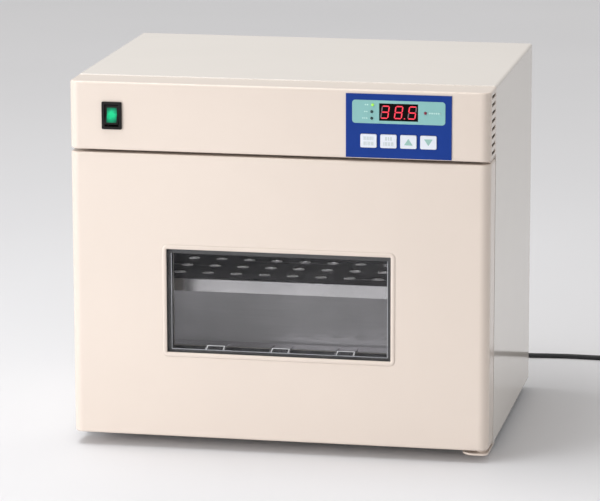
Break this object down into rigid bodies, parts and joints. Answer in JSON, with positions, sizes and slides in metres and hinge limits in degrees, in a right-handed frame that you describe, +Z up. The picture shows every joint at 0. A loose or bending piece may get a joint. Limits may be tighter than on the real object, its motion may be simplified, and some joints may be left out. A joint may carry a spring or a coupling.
{
  "type": "laboratory incubator",
  "caption": "Bench-top laboratory incubator: hinged door with a window, control fascia with a digital display and keys, perforated shelf in a heated chamber.",
  "frame": {"origin": "middle of the body's outline without its cord, on the surface that the feet stand on", "axes": "+X to the right seen from the front, +Y to the rear, +Z up; the door faces -Y"},
  "size_m": [0.643, 0.4924, 0.4065],
  "materials": {
    "cabinet_paint": "semi-gloss powder coat",
    "front_paint": "semi-gloss powder coat",
    "galvanised": "spangled zinc",
    "stainless": "fine brushed",
    "shelf_steel": "bright rolled",
    "glass_wool": "fibrous",
    "heater_sheath": "heat-dulled",
    "black_plastic": "fine texture",
    "white_plastic": "smooth",
    "transformer_iron": "varnished laminations",
    "relay_grey": "smooth",
    "foot_rubber": "matte",
    "screw_steel": "nickel plated",
    "cord_black": "satin",
    "plug_black": "satin moulded",
    "tie_grey": "woven strap",
    "pin_brass": "polished",
    "overlay_blue": "fine velvet print",
    "strip_green": "printed",
    "lens_black": "gloss",
    "digit_red": "lit",
    "led_green": "lit",
    "led_dark": "unlit",
    "led_red": "diffused",
    "board_green": "solder mask",
    "rocker_green": "translucent, lit",
    "key_white": "satin",
    "frame_cream": "satin moulded",
    "clear_pane": "clear",
    "reveal_grey": "satin moulded",
    "gasket_grey": "satin"
  },
  "bodies": {
    "cabinet": {"outer_cabinet": "cabinet_paint", "back_panel": "cabinet_paint", "base_plate": "galvanised", "front_frame": "cabinet_paint", "chamber_liner": "stainless", "insulation_top": "glass_wool", "insulation_sides": "glass_wool", "insulation_rear": "glass_wool", "insulation_bottom": "glass_wool", "shelf_rails": "stainless", "floor_plate": "stainless", "heater_element": "heater_sheath", "temperature_probe": "stainless", "safety_thermostat": "black_plastic", "electronics_tray": "galvanised", "transformer": "transformer_iron", "heater_relay": "relay_grey", "terminal_block": "white_plastic", "feet": "foot_rubber", "cabinet_screws": "screw_steel", "fuse_holder": "black_plastic", "cord_gland": "black_plastic", "strain_relief": "cord_black", "power_cord": "cord_black", "cord_coil": "cord_black", "cord_tie": "tie_grey", "plug_body": "plug_black", "plug_pins": "pin_brass", "control_fascia": "front_paint", "control_overlay": "overlay_blue", "display_strip": "strip_green", "display_window": "lens_black", "display_digits": "digit_red", "display_module": "black_plastic", "led_ready": "led_green", "led_standby": "led_dark", "led_alarm": "led_red", "control_board": "board_green", "tact_switches": "black_plastic", "rocker_bezel": "black_plastic", "hinge_upper": "front_paint", "hinge_lower": "front_paint"},
    "door": {"door_shell": "front_paint", "door_inner_panel": "cabinet_paint", "door_insulation": "glass_wool", "window_frame": "frame_cream", "window_pane_outer": "clear_pane", "window_pane_inner": "clear_pane", "window_reveal": "reveal_grey", "window_clips": "stainless", "door_gasket": "gasket_grey", "hinge_bushes": "white_plastic"},
    "shelf": {"shelf": "shelf_steel"},
    "rocker": {"rocker_button": "black_plastic", "rocker_lens": "rocker_green"},
    "mode_key": {"key_mode": "key_white"},
    "set_key": {"key_set": "key_white"},
    "up_key": {"key_up": "key_white"},
    "down_key": {"key_down": "key_white"}
  },
  "joints": [
    {"name": "door_hinge", "type": "hinge", "parent": "cabinet", "child": "door", "pos_m": [0.221, -0.15615, 0.167], "axis": [0, 0, 1], "range_deg": [0, 115]},
    {"name": "shelf_slide", "type": "slide", "parent": "cabinet", "child": "shelf", "axis": [0, -1, 0], "range_m": [0, 0.016]},
    {"name": "rocker_pivot", "type": "hinge", "parent": "cabinet", "child": "rocker", "pos_m": [-0.182, -0.16965, 0.3691], "axis": [1, 0, 0], "range_deg": [0, 20]},
    {"name": "mode_key_press", "type": "slide", "parent": "cabinet", "child": "mode_key", "axis": [0, 1, 0], "range_m": [0, 0.0006], "stiffness_N_per_m": 1500},
    {"name": "set_key_press", "type": "slide", "parent": "cabinet", "child": "set_key", "axis": [0, 1, 0], "range_m": [0, 0.0006], "stiffness_N_per_m": 1500},
    {"name": "up_key_press", "type": "slide", "parent": "cabinet", "child": "up_key", "axis": [0, 1, 0], "range_m": [0, 0.0006], "stiffness_N_per_m": 1500},
    {"name": "down_key_press", "type": "slide", "parent": "cabinet", "child": "down_key", "axis": [0, 1, 0], "range_m": [0, 0.0006], "stiffness_N_per_m": 1500}
  ]
}
